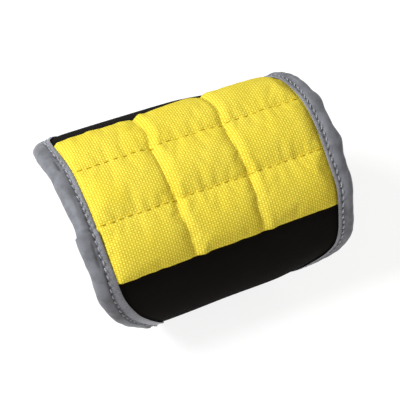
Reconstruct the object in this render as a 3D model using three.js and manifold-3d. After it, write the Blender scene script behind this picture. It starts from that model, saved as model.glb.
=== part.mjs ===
// Magnetic wristband: a padded fabric band closed into a loop, lying on its closed side.
// Millimetres. X runs across the band (along the wrist), Y to the back, Z up.
// The origin is on the ground, under the middle of the loop.

import * as THREE from 'three';
import { mergeVertices } from 'three/addons/utils/BufferGeometryUtils.js';
import Module from 'manifold-3d';

// Band outline, laid flat
const BAND_WIDTH = 98;
const STRAP_WIDTH = 56;
const TAPER_START = 18;
const TAPER_TURN = 45;
const TAPER_LENGTH = 76;
const TIP_RADIUS = 18;

// Loop, measured on the outer face of the black shell
const LOOP_HEIGHT = 66.2;
const TOP_RADIUS = 40;
const FRONT_CORNER_RADIUS = 18;
const REAR_CORNER_RADIUS = 25;
const TOP_ANGLE = THREE.MathUtils.degToRad(40);
const CORNER_ANGLE = THREE.MathUtils.degToRad(115);

// Lengths along the band
const REAR_SHOULDER_LENGTH = 42;
const HOOK_TIP_RISE = 5;
const LOOP_TIP_RISE = 12;

// Layers
const SHELL_T = 1.5;
const LINING_T = 1.3;
const FACE_T = 0.6;
const TAPE_T = 0.5;
const TAPE_WIDTH = 7;
const TAPE_FOLD = 1.1;
const TAPE_EASE = 12;

// Magnets and their pockets
const MAGNET_D = 12;
const MAGNET_T = 1.5;
const POCKET_MARGIN = 4.2;
const POCKET_RAMP = 3.6;
const SIDE_RAMP = 6;
const SIDE_MARGIN = 1.2;
const COLUMN_DIP = 0.8;
const COLUMN_HALF = 3.6;
const COLUMNS = ['left', 'centre', 'right'];

// Closure patches
const PATCH_MARGIN = 1.5;
const HOOK_T = 0.9;
const LOOP_T = 0.9;

// Clearances and facets
const FIT = 0.3;
const SEAM_GAP = 0.3;
const STEP = 3;
const TIP_STEPS = 7;
const MAGNET_SIDES = 28;
const RAMP_STEPS = [0, 0.5, 1];

// Heights of the layers above (+) and below (-) the shell's outer face
const STRAP_T = SHELL_T + FIT + LINING_T;
const STANDOFF = FIT + TAPE_T;
const TAPE_INSIDE = -STRAP_T - STANDOFF;
const FACE_BASE = FIT + FACE_T;
const CLOSURE_T = STRAP_T + FIT + HOOK_T + FIT + LOOP_T + FIT;
const EDGE_INSET = TAPE_T + FIT;
const PATCH_INSET = TAPE_WIDTH + PATCH_MARGIN;

const ROW = MAGNET_D + 2 * POCKET_MARGIN;
const PANEL_REAR = -ROW;
const PANEL_FRONT = 2 * ROW;
const PANEL_MIDDLE = (PANEL_REAR + PANEL_FRONT) / 2;

// Loop path: each side turns from the top (angle 0) to the ground (angle 180 degrees), runs flat, then rises
// round the other side's corner. The side radius takes up the height that the other arcs leave.
function sideRadius(drop, cornerRadius) {
  const topDrop = TOP_RADIUS * (1 - Math.cos(TOP_ANGLE));
  const cornerDrop = cornerRadius * (1 + Math.cos(CORNER_ANGLE));
  return (drop - topDrop - cornerDrop) / (Math.cos(TOP_ANGLE) - Math.cos(CORNER_ANGLE));
}

function arc(radius, from, to) {
  return { radius, from, to, length: radius * (to - from) };
}

function flat(length) {
  return { radius: Infinity, from: Math.PI, to: Math.PI, length };
}

function descent(drop, cornerRadius) {
  return [
    arc(TOP_RADIUS, 0, TOP_ANGLE),
    arc(sideRadius(drop, cornerRadius), TOP_ANGLE, CORNER_ANGLE),
    arc(cornerRadius, CORNER_ANGLE, Math.PI),
  ];
}

function reach(runs) {
  return runs.reduce((sum, run) => sum + run.radius * (Math.sin(run.to) - Math.sin(run.from)), 0);
}

function lengthOf(runs) {
  return runs.reduce((sum, run) => sum + run.length, 0);
}

const rearDescent = descent(LOOP_HEIGHT, REAR_CORNER_RADIUS);
const frontDescent = descent(LOOP_HEIGHT - CLOSURE_T, FRONT_CORNER_RADIUS);
const FLAT_LENGTH = reach(rearDescent) + reach(frontDescent);
const FULL_RISE = 1.5 * Math.PI;

const rearRuns = [
  ...rearDescent,
  flat(FLAT_LENGTH),
  arc(FRONT_CORNER_RADIUS + CLOSURE_T, Math.PI, FULL_RISE),
];
const frontRuns = [
  ...frontDescent,
  flat(FLAT_LENGTH),
  arc(REAR_CORNER_RADIUS - CLOSURE_T, Math.PI, FULL_RISE),
];

function widestReach(runs) {
  return TOP_RADIUS * Math.sin(TOP_ANGLE) + runs[1].radius * (1 - Math.sin(TOP_ANGLE));
}

const MIDDLE_Y = (widestReach(rearDescent) - widestReach(frontDescent)) / 2;

// A place on the band: x across it, s along it from the top (+ to the front), and a height over the shell's face.
function bandPoint(x, s, height) {
  const sign = s >= 0 ? -1 : 1;
  const runs = s >= 0 ? frontRuns : rearRuns;
  let left = Math.abs(s);
  let y = -MIDDLE_Y;
  let z = STANDOFF + LOOP_HEIGHT;
  let turn = 0;
  for (const run of runs) {
    const step = Math.min(left, run.length);
    turn = run.from + step / run.radius;
    if (run.radius === Infinity) {
      y += sign * Math.cos(run.from) * step;
    } else {
      y += sign * run.radius * (Math.sin(turn) - Math.sin(run.from));
      z += run.radius * (Math.cos(turn) - Math.cos(run.from));
    }
    left -= step;
    if (left <= 0) break;
  }
  return new THREE.Vector3(x, y + sign * Math.sin(turn) * height, z + Math.cos(turn) * height);
}

function bandNormal(s) {
  return bandPoint(0, s, 1).sub(bandPoint(0, s, 0));
}

// Lines where the band bends, and the two strap ends
const PEEL_LINE = -lengthOf(rearDescent);
const REAR_STRAP_LINE = PANEL_REAR - REAR_SHOULDER_LENGTH;
const FRONT_STRAP_LINE = frontDescent[0].length + frontDescent[1].length;
const HOOK_TIP = PEEL_LINE - FLAT_LENGTH - HOOK_TIP_RISE;
const LOOP_TIP = lengthOf(frontDescent) + FLAT_LENGTH + LOOP_TIP_RISE;

// Half the band's width, less an inset: wide at the panel, an S-curve to the straps, round corners at the tips.
function taper(s) {
  const u = Math.min(Math.max(Math.abs(s - PANEL_MIDDLE) - TAPER_START, 0), TAPER_LENGTH);
  const total = (BAND_WIDTH - STRAP_WIDTH) / 2;
  const slope = (2 * total) / TAPER_LENGTH;
  if (u < TAPER_TURN) return (slope * u * u) / (2 * TAPER_TURN);
  return total - (slope * (TAPER_LENGTH - u) ** 2) / (2 * (TAPER_LENGTH - TAPER_TURN));
}

function halfWidth(s, inset) {
  const plain = BAND_WIDTH / 2 - taper(s);
  const toTip = s > 0 ? LOOP_TIP - s : s - HOOK_TIP;
  if (toTip >= TIP_RADIUS) return plain - inset;
  const intoCorner = TIP_RADIUS - toTip;
  const radius = TIP_RADIUS - inset;
  return plain - TIP_RADIUS + Math.sqrt(Math.max(radius ** 2 - intoCorner ** 2, 0));
}

// The binding lies on the face panel beside the rows, and eases down to the shell past the panel's ends.
function tapeOutside(s) {
  const past = Math.max(PANEL_REAR - s, s - PANEL_FRONT, 0);
  const ease = THREE.MathUtils.smoothstep(past, 0, TAPE_EASE);
  return STANDOFF + FACE_BASE * (1 - ease);
}

function evenly(from, to, step) {
  const count = Math.max(1, Math.ceil(Math.abs(to - from) / step));
  return Array.from({ length: count + 1 }, (_, i) => from + ((to - from) * i) / count);
}

function cornerAngles() {
  return evenly(0, Math.PI / 2, Math.PI / 2 / TIP_STEPS);
}

// Closed mesh from points and triangles, with every face turned outward
function closedMesh(points, triangles) {
  const edge = new THREE.Vector3();
  let volume = 0;
  for (const [a, b, c] of triangles) {
    volume += points[a].dot(edge.crossVectors(points[b], points[c]));
  }
  const order = volume > 0 ? triangles : triangles.map(([a, b, c]) => [a, c, b]);
  const geometry = new THREE.BufferGeometry().setFromPoints(points);
  geometry.setIndex(order.flat());
  geometry.computeVertexNormals();
  return geometry;
}

// Sheet of fabric on a grid: stations along the band, lines across it, an upper and a lower height
function sheet(stations, linesAt, upper, lower) {
  const across = linesAt(stations[0]).length;
  const points = [];
  for (const heightAt of [upper, lower]) {
    for (const s of stations) {
      for (const x of linesAt(s)) points.push(bandPoint(x, s, heightAt(x, s)));
    }
  }
  const under = stations.length * across;
  const at = (i, j) => i * across + j;
  const triangles = [];
  const quad = (a, b, c, d) => triangles.push([a, b, c], [a, c, d]);
  const last = stations.length - 1;
  for (let i = 0; i < last; i += 1) {
    for (let j = 0; j < across - 1; j += 1) {
      quad(at(i, j), at(i + 1, j), at(i + 1, j + 1), at(i, j + 1));
      quad(under + at(i, j), under + at(i, j + 1), under + at(i + 1, j + 1), under + at(i + 1, j));
    }
    quad(at(i, 0), under + at(i, 0), under + at(i + 1, 0), at(i + 1, 0));
    const end = across - 1;
    quad(at(i, end), at(i + 1, end), under + at(i + 1, end), under + at(i, end));
  }
  for (let j = 0; j < across - 1; j += 1) {
    quad(at(0, j), at(0, j + 1), under + at(0, j + 1), under + at(0, j));
    quad(at(last, j), under + at(last, j), under + at(last, j + 1), at(last, j + 1));
  }
  return closedMesh(points, triangles);
}

// Folded tape: a C section swept along the band's edge. Each station has its edge point and its inward direction.
function tapeSection(outside) {
  const bevel = TAPE_FOLD * (1 - Math.SQRT1_2);
  return [
    new THREE.Vector2(TAPE_WIDTH, outside),
    new THREE.Vector2(TAPE_FOLD, outside),
    new THREE.Vector2(bevel, outside - bevel),
    new THREE.Vector2(0, outside - TAPE_FOLD),
    new THREE.Vector2(0, TAPE_INSIDE + TAPE_FOLD),
    new THREE.Vector2(bevel, TAPE_INSIDE + bevel),
    new THREE.Vector2(TAPE_FOLD, TAPE_INSIDE),
    new THREE.Vector2(TAPE_WIDTH, TAPE_INSIDE),
    new THREE.Vector2(TAPE_WIDTH, TAPE_INSIDE + TAPE_T),
    new THREE.Vector2(TAPE_T, TAPE_INSIDE + TAPE_T),
    new THREE.Vector2(TAPE_T, outside - TAPE_T),
    new THREE.Vector2(TAPE_WIDTH, outside - TAPE_T),
  ];
}

function sweptTape(stations) {
  const points = [];
  for (const { x, s, inX, inS } of stations) {
    for (const { x: depth, y: height } of tapeSection(tapeOutside(s))) {
      const beyondFold = Math.max(depth - TAPE_FOLD, 0);
      const stretch = depth + beyondFold * (tapeStretch(s) - 1);
      points.push(bandPoint(x + inX * stretch, s + inS * stretch, height));
    }
  }
  const section = tapeSection(tapeOutside(stations[0].s));
  const size = section.length;
  const triangles = [];
  for (let i = 0; i < stations.length - 1; i += 1) {
    for (let k = 0; k < size; k += 1) {
      const next = (k + 1) % size;
      const a = i * size + k;
      const b = i * size + next;
      triangles.push([a, a + size, b + size], [a, b + size, b]);
    }
  }
  const first = (stations.length - 1) * size;
  for (const [a, b, c] of THREE.ShapeUtils.triangulateShape(section, [])) {
    const turned = THREE.ShapeUtils.isClockWise(section) ? [a, c, b] : [a, b, c];
    triangles.push(turned, turned.map((k) => first + k).reverse());
  }
  return closedMesh(points, triangles);
}

// On a slanting edge the tape keeps its true width square to the edge.
function tapeStretch(s) {
  const slope = (taper(s + FIT) - taper(s - FIT)) / (2 * FIT);
  return Math.hypot(1, slope);
}

function edgeStation(s, side) {
  return { x: side * halfWidth(s, 0), s, inX: -side, inS: 0 };
}

function edgeTape(section, side) {
  return sweptTape(section.stations.map((s) => edgeStation(s, side)));
}

function tailTape(section) {
  const toward = Math.sign(section.tip - section.base);
  const cornerS = section.tip - toward * TIP_RADIUS;
  const cornerX = STRAP_WIDTH / 2 - TIP_RADIUS;
  const straight = evenly(section.base + (toward * SEAM_GAP) / 2, cornerS, STEP).slice(0, -1);
  const round = (side, angle) => ({
    x: side * (cornerX + TIP_RADIUS * Math.cos(angle)),
    s: cornerS + toward * TIP_RADIUS * Math.sin(angle),
    inX: -side * Math.cos(angle),
    inS: -toward * Math.sin(angle),
  });
  return sweptTape([
    ...straight.map((s) => edgeStation(s, -1)),
    ...cornerAngles().map((angle) => round(-1, angle)),
    ...cornerAngles().reverse().map((angle) => round(1, angle)),
    ...straight.reverse().map((s) => edgeStation(s, 1)),
  ]);
}

// Stations of a section between two bend lines, or from a bend line to a tip
function span(from, to) {
  return { from, to, stations: evenly(from + SEAM_GAP / 2, to - SEAM_GAP / 2, STEP) };
}

function tail(base, tip, setback, inset) {
  const toward = Math.sign(tip - base);
  const cornerS = tip - toward * TIP_RADIUS;
  const radius = TIP_RADIUS - inset;
  const straight = evenly(base + toward * setback, cornerS, STEP).slice(0, -1);
  const round = cornerAngles().map((angle) => cornerS + toward * radius * Math.sin(angle));
  return { base, tip, stations: [...straight, ...round] };
}

function layer(section, inset, upper, lower) {
  const lines = (s) => [-halfWidth(s, inset), 0, halfWidth(s, inset)];
  return sheet(section.stations, lines, () => upper, () => lower);
}

// Magnet pockets: the pad and the face over it rise from the sewn lines to a crown over each magnet.
function tightestRadius() {
  return Math.min(TOP_RADIUS, frontDescent[1].radius, rearDescent[1].radius);
}

const MAGNET_BOW = MAGNET_D ** 2 / 8 / tightestRadius();
const PAD_T = MAGNET_T + MAGNET_BOW;
const COLUMN_PITCH = (BAND_WIDTH - 2 * TAPE_WIDTH) / COLUMNS.length;
const COLUMN_SEAM = COLUMN_PITCH / 2;
const RIM_STEP = RAMP_STEPS[1];

function rounded(t) {
  return Math.sin((Math.PI / 2) * Math.min(Math.max(t, 0), 1));
}

function pocketSide(row) {
  const narrowest = Math.min(halfWidth(row.from, 0), halfWidth(row.to, 0));
  return narrowest - TAPE_WIDTH * tapeStretch(row.to) - SIDE_MARGIN;
}

function crown(row, x, s) {
  const along = rounded(Math.min(s - row.from, row.to - s) / POCKET_RAMP);
  const side = rounded((pocketSide(row) - Math.abs(x)) / SIDE_RAMP);
  const column = 1 - rounded(Math.abs(Math.abs(x) - COLUMN_SEAM) / COLUMN_HALF);
  return along * side * (1 - (COLUMN_DIP / PAD_T) * column);
}

function pocketStations(row) {
  const ramp = RAMP_STEPS.map((t) => t * POCKET_RAMP);
  const flatTop = evenly(row.from + POCKET_RAMP, row.to - POCKET_RAMP, STEP);
  return [
    row.from + SEAM_GAP / 2,
    ...ramp.slice(1, -1).map((t) => row.from + t),
    ...flatTop,
    ...ramp.slice(1, -1).reverse().map((t) => row.to - t),
    row.to - SEAM_GAP / 2,
  ];
}

function pocketLines(row) {
  const side = RAMP_STEPS.map((t) => pocketSide(row) - t * SIDE_RAMP);
  const out = RAMP_STEPS.slice(1).reverse().map((t) => COLUMN_SEAM + t * COLUMN_HALF);
  const into = RAMP_STEPS.map((t) => COLUMN_SEAM - t * COLUMN_HALF);
  const half = [...side, ...out, ...into];
  return [...half.map((x) => -x), 0, ...half.reverse()];
}

function faceSheet(row) {
  const lines = (s) => [-halfWidth(s, EDGE_INSET), ...pocketLines(row), halfWidth(s, EDGE_INSET)];
  const lift = (x, s) => {
    const rise = crown(row, x, s);
    return FIT + PAD_T * rise + FIT * Math.min(1, rise / RIM_STEP ** 2);
  };
  return sheet(pocketStations(row), lines, (x, s) => lift(x, s) + FACE_T, lift);
}

function plainPad(row) {
  const stations = pocketStations(row).slice(1, -1);
  const lines = pocketLines(row).slice(1, -1);
  const top = (x, s) => FIT + PAD_T * crown(row, x, s);
  return sheet(stations, () => lines, top, () => FIT);
}

function magnetAt(row, column, radius, height) {
  const s = (row.from + row.to) / 2;
  const x = (column - (COLUMNS.length - 1) / 2) * COLUMN_PITCH;
  const normal = bandNormal(s);
  const disc = new THREE.CylinderGeometry(radius, radius, height, MAGNET_SIDES);
  disc.rotateX(Math.atan2(normal.z, normal.y));
  const middle = bandPoint(x, s, FIT + MAGNET_T / 2);
  return disc.translate(middle.x, middle.y, middle.z);
}

// Boolean cut of one closed mesh by others
const wasm = await Module();
wasm.setup();

function toManifold(geometry) {
  const bare = geometry.clone();
  bare.deleteAttribute('normal');
  bare.deleteAttribute('uv');
  const merged = mergeVertices(bare);
  return new wasm.Manifold(new wasm.Mesh({
    numProp: 3,
    vertProperties: new Float32Array(merged.attributes.position.array),
    triVerts: new Uint32Array(merged.index.array),
  }));
}

function cut(geometry, tools) {
  const result = tools.reduce((solid, tool) => solid.subtract(toManifold(tool)), toManifold(geometry));
  const mesh = result.getMesh();
  const cutGeometry = new THREE.BufferGeometry();
  cutGeometry.setAttribute('position', new THREE.BufferAttribute(mesh.vertProperties, mesh.numProp));
  cutGeometry.setIndex(new THREE.BufferAttribute(mesh.triVerts, 1));
  cutGeometry.computeVertexNormals();
  return cutGeometry;
}

function padWithBores(row) {
  const bores = COLUMNS.map((_, column) => magnetAt(row, column, MAGNET_D / 2 + FIT, ROW));
  return cut(plainPad(row), bores);
}

// Materials
function cloth(color, roughness) {
  return new THREE.MeshStandardMaterial({ color, roughness, metalness: 0 });
}

const blackShell = cloth(0x161514, 0.85);
const greyLining = cloth(0x242426, 0.95);
const yellowFace = cloth(0xe6cf3c, 0.8);
const greyTape = cloth(0x8c9095, 0.55);
const paleFoam = cloth(0x3a3a3c, 0.9);
const hookTape = cloth(0x1b1b1c, 0.6);
const loopTape = cloth(0x202022, 1);
const nickel = new THREE.MeshStandardMaterial({ color: 0xb9bcc0, roughness: 0.25, metalness: 1 });

// Assembly: one group for each length of band that moves as one
const group = new THREE.Group();

function addBody(name, pieces) {
  const body = new THREE.Group();
  body.name = name;
  for (const [node, geometry, material] of pieces) {
    const mesh = new THREE.Mesh(geometry, material);
    mesh.name = node;
    body.add(mesh);
  }
  group.add(body);
}

function bandPieces(name, section) {
  return [
    [`${name}_shell`, layer(section, EDGE_INSET, 0, -SHELL_T), blackShell],
    [`${name}_lining`, layer(section, EDGE_INSET, -SHELL_T - FIT, -STRAP_T), greyLining],
  ];
}

function addStrap(name, from, to) {
  const section = span(from, to);
  addBody(name, [
    ...bandPieces(name, section),
    [`${name}_binding_left`, edgeTape(section, -1), greyTape],
    [`${name}_binding_right`, edgeTape(section, 1), greyTape],
  ]);
}

function addRow(name, from, to) {
  const row = span(from, to);
  addBody(name, [
    ...bandPieces(name, row),
    [`${name}_binding_left`, edgeTape(row, -1), greyTape],
    [`${name}_binding_right`, edgeTape(row, 1), greyTape],
    [`${name}_face`, faceSheet(row), yellowFace],
    [`${name}_pad`, padWithBores(row), paleFoam],
    ...COLUMNS.map((column, index) => [
      `${name}_magnet_${column}`,
      magnetAt(row, index, MAGNET_D / 2, MAGNET_T),
      nickel,
    ]),
  ]);
}

function patch(base, tip, upper, lower) {
  return layer(tail(base, tip, PATCH_MARGIN, PATCH_INSET), PATCH_INSET, upper, lower);
}

function addTail(name, base, tip, patchNode) {
  const section = tail(base, tip, SEAM_GAP / 2, EDGE_INSET);
  addBody(name, [
    ...bandPieces(name, section),
    [`${name}_binding`, tailTape(section), greyTape],
    patchNode,
  ]);
}

const hookPatch = patch(PEEL_LINE, HOOK_TIP, -STRAP_T - FIT, -STRAP_T - FIT - HOOK_T);
const loopPatch = patch(lengthOf(frontDescent), LOOP_TIP, FIT + LOOP_T, FIT);

addTail('hook_tail', PEEL_LINE, HOOK_TIP, ['hook_patch', hookPatch, hookTape]);
addStrap('rear_strap', PEEL_LINE, REAR_STRAP_LINE);
addStrap('rear_shoulder', REAR_STRAP_LINE, PANEL_REAR);
addRow('rear_row', PANEL_REAR, 0);
addRow('middle_row', 0, ROW);
addRow('front_row', ROW, PANEL_FRONT);
addStrap('front_shoulder', PANEL_FRONT, FRONT_STRAP_LINE);
addTail('loop_tail', FRONT_STRAP_LINE, LOOP_TIP, ['loop_patch', loopPatch, loopTape]);

// Axes of the bends: opening bends turn on the outermost fabric, closing bends on the innermost.
group.userData.axes = {
  closure_peel: bandPoint(0, PEEL_LINE, tapeOutside(PEEL_LINE)),
  rear_strap_flex: bandPoint(0, REAR_STRAP_LINE, tapeOutside(REAR_STRAP_LINE)),
  rear_shoulder_flex: bandPoint(0, PANEL_REAR, tapeOutside(PANEL_REAR)),
  rear_panel_flex: bandPoint(0, 0, tapeOutside(0)),
  front_panel_flex: bandPoint(0, ROW, TAPE_INSIDE),
  front_shoulder_flex: bandPoint(0, PANEL_FRONT, TAPE_INSIDE),
  inner_tail_flex: bandPoint(0, FRONT_STRAP_LINE, TAPE_INSIDE),
};

export default group;
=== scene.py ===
# Magnetic wristband: cloth, tape, thread, patches and light around the fixed frame.
# Lengths are in millimetres until place() turns them into metres.
# A place on the band is (x, s, height): x across it, s along it from the top (+ to the front),
# and a height over the outer face of the black shell.
import math

import bpy
import numpy as np
from mathutils import Matrix, Vector


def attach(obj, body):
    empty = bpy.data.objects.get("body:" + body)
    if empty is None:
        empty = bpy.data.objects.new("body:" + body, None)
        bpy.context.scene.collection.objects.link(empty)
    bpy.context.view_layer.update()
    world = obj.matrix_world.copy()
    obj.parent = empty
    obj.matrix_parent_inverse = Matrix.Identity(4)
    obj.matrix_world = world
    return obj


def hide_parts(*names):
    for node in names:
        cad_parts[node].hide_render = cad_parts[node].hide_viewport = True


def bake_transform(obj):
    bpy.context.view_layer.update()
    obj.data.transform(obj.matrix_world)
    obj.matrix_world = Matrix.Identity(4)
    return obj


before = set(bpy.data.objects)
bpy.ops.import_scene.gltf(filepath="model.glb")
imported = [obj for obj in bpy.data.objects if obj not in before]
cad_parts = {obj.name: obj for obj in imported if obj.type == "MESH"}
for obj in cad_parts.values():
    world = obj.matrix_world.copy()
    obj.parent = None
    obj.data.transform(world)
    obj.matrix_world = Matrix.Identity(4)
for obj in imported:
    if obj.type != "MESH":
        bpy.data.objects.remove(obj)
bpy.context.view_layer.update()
scene = bpy.context.scene
MM = 0.001

# Band outline, laid flat
BAND_WIDTH = 98
STRAP_WIDTH = 56
TAPER_START = 18
TAPER_TURN = 45
TAPER_LENGTH = 76
TIP_RADIUS = 18

# Loop, measured on the outer face of the black shell
LOOP_HEIGHT = 66.2
TOP_RADIUS = 40
FRONT_CORNER_RADIUS = 18
REAR_CORNER_RADIUS = 25
TOP_ANGLE = math.radians(40)
CORNER_ANGLE = math.radians(115)
REAR_SHOULDER_LENGTH = 42
HOOK_TIP_RISE = 5
LOOP_TIP_RISE = 12

# Layers
SHELL_T = 1.5
LINING_T = 1.3
FACE_T = 0.6
TAPE_T = 0.5
TAPE_WIDTH = 7
TAPE_EASE = 12
HOOK_T = 0.9
LOOP_T = 0.9
FIT = 0.3
PATCH_MARGIN = 1.5
STRAP_T = SHELL_T + FIT + LINING_T
STANDOFF = FIT + TAPE_T
TAPE_INSIDE = -STRAP_T - STANDOFF
CLOSURE_T = STRAP_T + 3 * FIT + HOOK_T + LOOP_T
EDGE_INSET = 2.4
PATCH_INSET = TAPE_WIDTH + PATCH_MARGIN
PATCH_GAP = FIT / 3

# Magnet rows and their pads
MAGNET_D = 12
POCKET_MARGIN = 4.2
ROW = MAGNET_D + 2 * POCKET_MARGIN
PANEL_REAR = -ROW
PANEL_FRONT = 2 * ROW
PANEL_MIDDLE = (PANEL_REAR + PANEL_FRONT) / 2
COLUMN_PITCH = (BAND_WIDTH - 2 * TAPE_WIDTH) / 3
PAD_SEAM_GAP = 1.6
PAD_SIDE_GAP = 3.5
PAD_CLEARANCE = 0.5
PAD_LEAST_T = 0.25

# Yellow face: heights and hems; ease and slant are a rise, the x where it begins and its reach leftward
SEWN_HEIGHT = 1.3
SEWN_EASE = (0.7, 15, 50)
TUCKED_HEIGHT = 0.5
TUCK_START = 0.66
TUCK_REACH = 2.2
CROWN = 1.75
CROWN_POWER = 0.55
SIDE_RAMP = 6
PUFF = ((0.9, 1.45, 1.4), (0.85, 1.1, 1.05), (0.85, 1.15, 1.0))
POCKET_EASE = 8
HEM_ROUND = 0.9
HEM_EDGE = 0.03
HEM_SLANT = (2.4, 30, 60)
FACE_LOWEST = 0.06
FACE_LEAST_T = 0.05

# Creases between the pockets
CREASE_X = 13.2
CREASE_HALF = 1.5
CREASE_DEPTH = 1.75
CREASE_WANDER = (0.9, 6.5, 1, 11)
CREASE_END_POWER = 1.6
CREASE_MIDDLE = 0.6
CREASE_SEAM = 0.6
RIDGE_RISE = 0.5
RIDGE_MIDDLE = 0.3

# Unevenness of cloth: height, cell across, cell along and seed of its noise; press: half width and height
SHELL_SAG = (0.12, 16, 11, 3)
SHELL_SAG_REACH = 60
LINING_SAG = (0.1, 9, 7, 5)
LINING_PRESS = (1.6, 0.5)
PUCKER = (0.3, 2.3, 9, 21)
PUCKER_REACH = 3
RIPPLE = (0.28, 8, 6, 22)
RIPPLE_SLOPE = 4 / 7
CRINKLE = (0.12, 3.2, 3.6, 23)
SIDE_UNEVEN = 0.25
PILE = (0.16, 1.3, 1.3, 61)
PILE_DROP = 0.25
PILE_SEAM_DROP = 0.2

# Settling of the yellow face: metres of simulated cloth for each millimetre, mesh, time, push and slack
CLOTH_SCALE = 0.02
CLOTH_STEP = 1.0
CLOTH_COLUMNS = 92
CLOTH_FRAMES = 30
CLOTH_PRESSURE = 0.45
CLOTH_SLACK = 0.009
CLOTH_REACH = 1.5
CREASE_HOLD = 0.75
SEAM_HOLD_HALF = 0.9
LIP_HOLD = 0.5

# Binding tape: fold, lip, and the lapped end on the left edge; a hump is a place, a half width and a height
FOLD_DEPTH = 2.9
LEG_OFFSET = 20
LIP_EDGE = 0.08
LIP_DROP = 0.2
LIP_HALF = 0.5
SPLICE_S = 21.5
SPLICE_LENGTH = 14
SPLICE_STEP = 0.3
SPLICE_RISE = 0.75
SPLICE_NIP = (SPLICE_S - 0.8, 1, 0.45)
SPLICE_REACH = 0.7

# Relief of the tape's legs, and the share of it that stays on the underside and on the ground
GROOVE_DEPTH = 0.56
GROOVE_EASE = 0.2
GROOVE_HALF = 0.5
GROOVE_GATHERED = 0.3
HOLE_DEPTH = 0.12
HOLE_HALF = 0.75
ROLL = (3, 2.2, 0.35)
DENT = (4, 0.8, -0.5)
DENT_LEVEL = 0.5
SEWN_PLAY = 0.35
SEWN_PLAY_EASE = 1.2
TAPE_SINK = 0.15
UNDER_SHARE = 0.6
UNDER_SHIFT = 40
GROUND_PLAY = 0.2
GROUND_CLEAR = 4
GROUND_EASE = 10

# Unevenness of the tape: height, cell along, cell across and seed of its noise
TAPE_DENTS = (2.4, 5.5, 1, 35)
TAPE_FINE = (0.13, 1.9, 4, 31)
TAPE_BROAD = (0.42, 7.5, 5, 33)
FOLD_WAVES = ((0.22, 11, 1, 41), (0.08, 3.3, 1, 43))
FOLD_CRUMPLE = (0.12, 2.6, 1 / 1.5, 45)

# Front left corner: its place and half length, a wider lip, the seam further out, and gathers
CORNER = (58, 40)
CORNER_LIP = 1.2
CORNER_SEAM = 0.7
GATHER_S = 76
GATHER_HALF = 14
GATHER_DEPTH = 0.14
GATHER_PITCH = 1.3

# Stitches; on the tape, lean, slant and pull vary from one to the next
SEAM_DEPTH = 5.2
SEAM_PITCH = 2.4
TAPE_THREAD_RADIUS = 0.26
STITCH_LEAN = (0.32, 1 / 0.7, 1, 51)
STITCH_SLANT = (0.5, 1 / 0.9, 1, 53)
STITCH_PULL = (0.16, 1 / 0.6, 1, 55)
STITCH_SINK = 0.05
ROW_STITCH_PITCH = 3.2
ROW_THREAD_RADIUS = 0.22
ROW_ARCH_SHARE = 0.88
ROW_SEAM_GAP = 0.6
ROW_LEAN = 0.12
ROW_LEAN_TURN = 1.7
ROW_SLANT = 0.2
STITCH_SHARE = 0.74
STITCH_OFFSETS = np.linspace(-0.5, 0.5, 7)
STITCH_ARCH = 0.34 - 0.62 * (2 * STITCH_OFFSETS) ** 4
STITCH_TAPER = np.array([0.75, 1, 1, 1, 1, 1, 0.75])

# Hooks of the closure: spacing, thickness, bend and how far each ring turns with it
HOOK_BACKING_T = 0.6 * HOOK_T
HOOK_PITCH = 1.5
HOOK_RADIUS = 0.12
HOOK_BEND = np.array([[0, 0], [0, 0.28], [0.1, 0.46], [0.3, 0.5], [0.42, 0.36]])
HOOK_TURN = np.array([0, 0, 0.5, 1, 1])

# Slack of the worn band: side, where across it begins and is full, place along, half length and height
SLACK = (
    (-1, -40, 40, -34, 34, 1.5),
    (1, 5, 40, -36, 26, -3.4),
    (-1, 36, 50, -36, 26, -2.2),
    (-1, 22, 45, 74, 20, -2.0),
    (1, 18, 45, 80, 24, -2.4),
)

# Drift of the edges: side, place along, half length and how far the edge stands out there
EDGE_DRIFTS = (
    (-1, -26, 25, 2.2),
    (-1, 47, 14, 1.0),
    (-1, 72, 17, -2.4),
    (1, -40, 28, -2.0),
    (1, 3, 24, 1.3),
    (1, 36, 10, 0.5),
    (1, 61, 24, 4.0),
)

# Drift that only the tape's fold follows
FOLD_DRIFTS = (
    (-1, 1, 6, 0.5),
    (-1, 17, 9, -0.7),
    (1, 2, 5, 0.9),
    (1, 19, 6, 1.3),
)

# Mesh steps and counts
FACE_STEP = 0.5
FACE_COLUMNS = 190
FACE_INSET = 3.0
LAYER_STEP = 1.5
PAD_STEP = 1.0
TAPE_STEP = 0.5
INNER_STEP = 3
LEG_STATIONS = 20
FOLD_STATIONS = 15
PATCH_COLUMNS = 40
THREAD_SIDES = 7
HOOK_SIDES = 6


# Helpers for shapes

def smooth(t):
    t = np.clip(t, 0, 1)
    return t * t * (3 - 2 * t)


def bump(value, centre, half, height=1):
    """Smooth hump round a centre."""
    return height * smooth(1 - np.abs(value - centre) / half)


def bell(value, centre, half, height=1):
    return height * np.exp(-(((value - centre) / half) ** 2))


def rising(low, share):
    """From low to 1 as the share goes from 0 to 1."""
    return low + (1 - low) * share


def noise(u, v, seed):
    """Smooth seeded noise from -1 to 1 over a lattice of unit cells."""
    size = 64
    lattice = np.random.default_rng(seed).uniform(-1, 1, (size, size))
    u, v = np.broadcast_arrays(np.asarray(u, float), np.asarray(v, float))
    i = np.floor(u).astype(int)
    j = np.floor(v).astype(int)
    a = smooth(u - i)
    b = smooth(v - j)
    near, far = (lattice[i % size, row % size] * (1 - a) + lattice[(i + 1) % size, row % size] * a
                 for row in (j, j + 1))
    return near * (1 - b) + far * b


def uneven(field, u, v):
    height, cell_u, cell_v, seed = field
    return height * noise(u / cell_u, v / cell_v, seed)


def lengths(x, s):
    """Distances along a line of places from its start."""
    return np.concatenate([[0], np.cumsum(np.hypot(np.diff(x), np.diff(s)))])


def evenly(start, stop, step):
    return np.linspace(start, stop, max(2, math.ceil(abs(stop - start) / step) + 1))


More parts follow.
